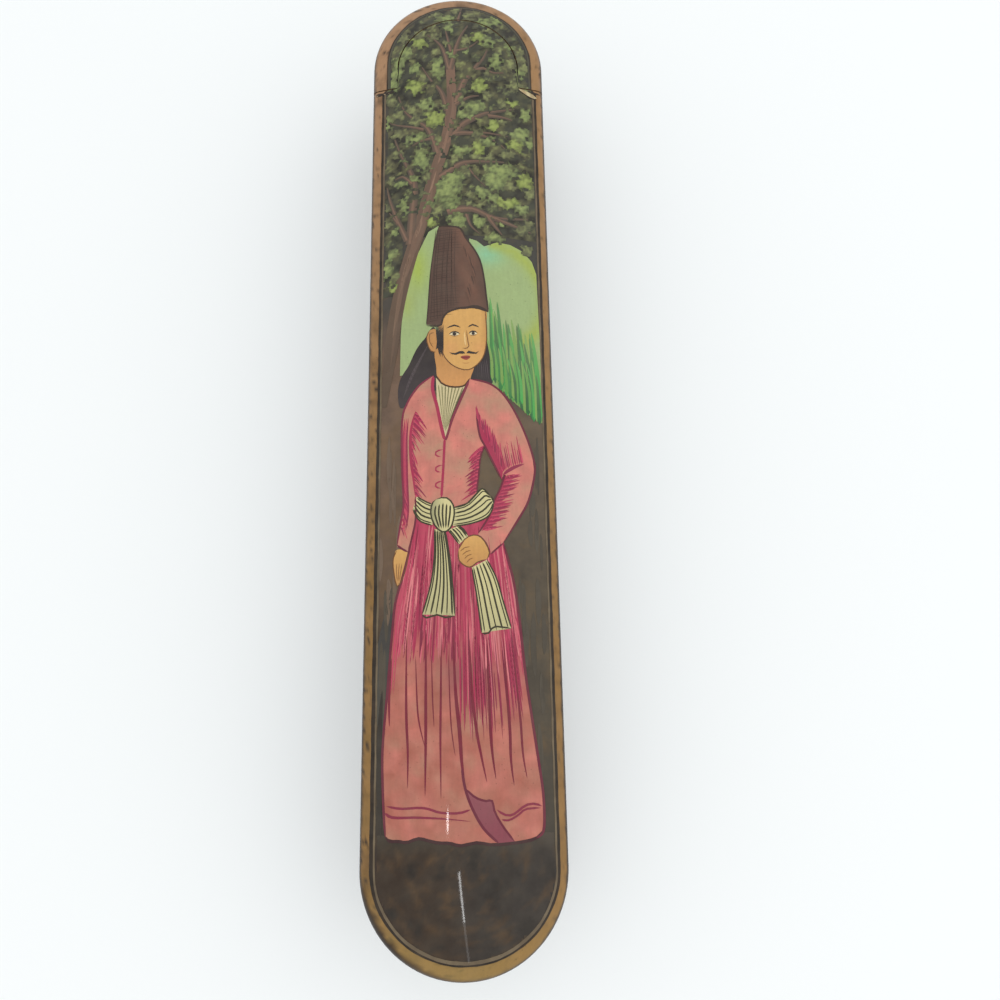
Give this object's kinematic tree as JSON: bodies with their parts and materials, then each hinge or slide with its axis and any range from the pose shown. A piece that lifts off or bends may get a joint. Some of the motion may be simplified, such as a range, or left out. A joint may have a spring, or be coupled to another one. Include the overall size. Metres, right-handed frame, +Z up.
{
  "type": "sliding pen box",
  "caption": "Round-ended lacquered papier-mache pen box: a crowned painted sheath with a sliding drawer that holds a hinged-lid inkwell, reed pens and a penknife.",
  "frame": {"origin": "centre of the closed box in plan, on the table it rests on", "axes": "+Y along the box towards the drawer's head, +X across it, +Z up"},
  "size_m": [0.04, 0.218, 0.038],
  "materials": {
    "lacquer": "gloss",
    "tray_board": "satin",
    "lining_paper": "matte",
    "brass": "satin",
    "inky_silk": "matte",
    "reed": "satin",
    "bone": "satin",
    "steel": "satin"
  },
  "bodies": {
    "sheath": {"sheath_shell": "lacquer"},
    "drawer": {"drawer_tray": "tray_board", "drawer_head": "lacquer", "tray_lining": "lining_paper", "inkwell_lining": "lining_paper", "inkwell_partition": "tray_board", "inkwell_cup": "brass", "inkwell_plate": "brass", "inkwell_collar": "brass", "hinge_pin": "brass", "silk_wad": "inky_silk", "reed_pen_broad": "reed", "reed_pen_medium": "reed", "reed_pen_fine": "reed", "knife_handle": "bone", "knife_bolster": "brass", "knife_blade": "steel", "knife_rivets": "brass", "knife_button": "brass"},
    "inkwell_lid": {"inkwell_lid": "brass"}
  },
  "joints": [
    {"name": "drawer_slide", "type": "slide", "parent": "sheath", "child": "drawer", "axis": [0, 1, 0], "range_m": [0, 0.206]},
    {"name": "lid_hinge", "type": "hinge", "parent": "drawer", "child": "inkwell_lid", "pos_m": [0, 0.0931, 0.01797], "axis": [-1, 0, 0], "range_deg": [0, 100]}
  ]
}
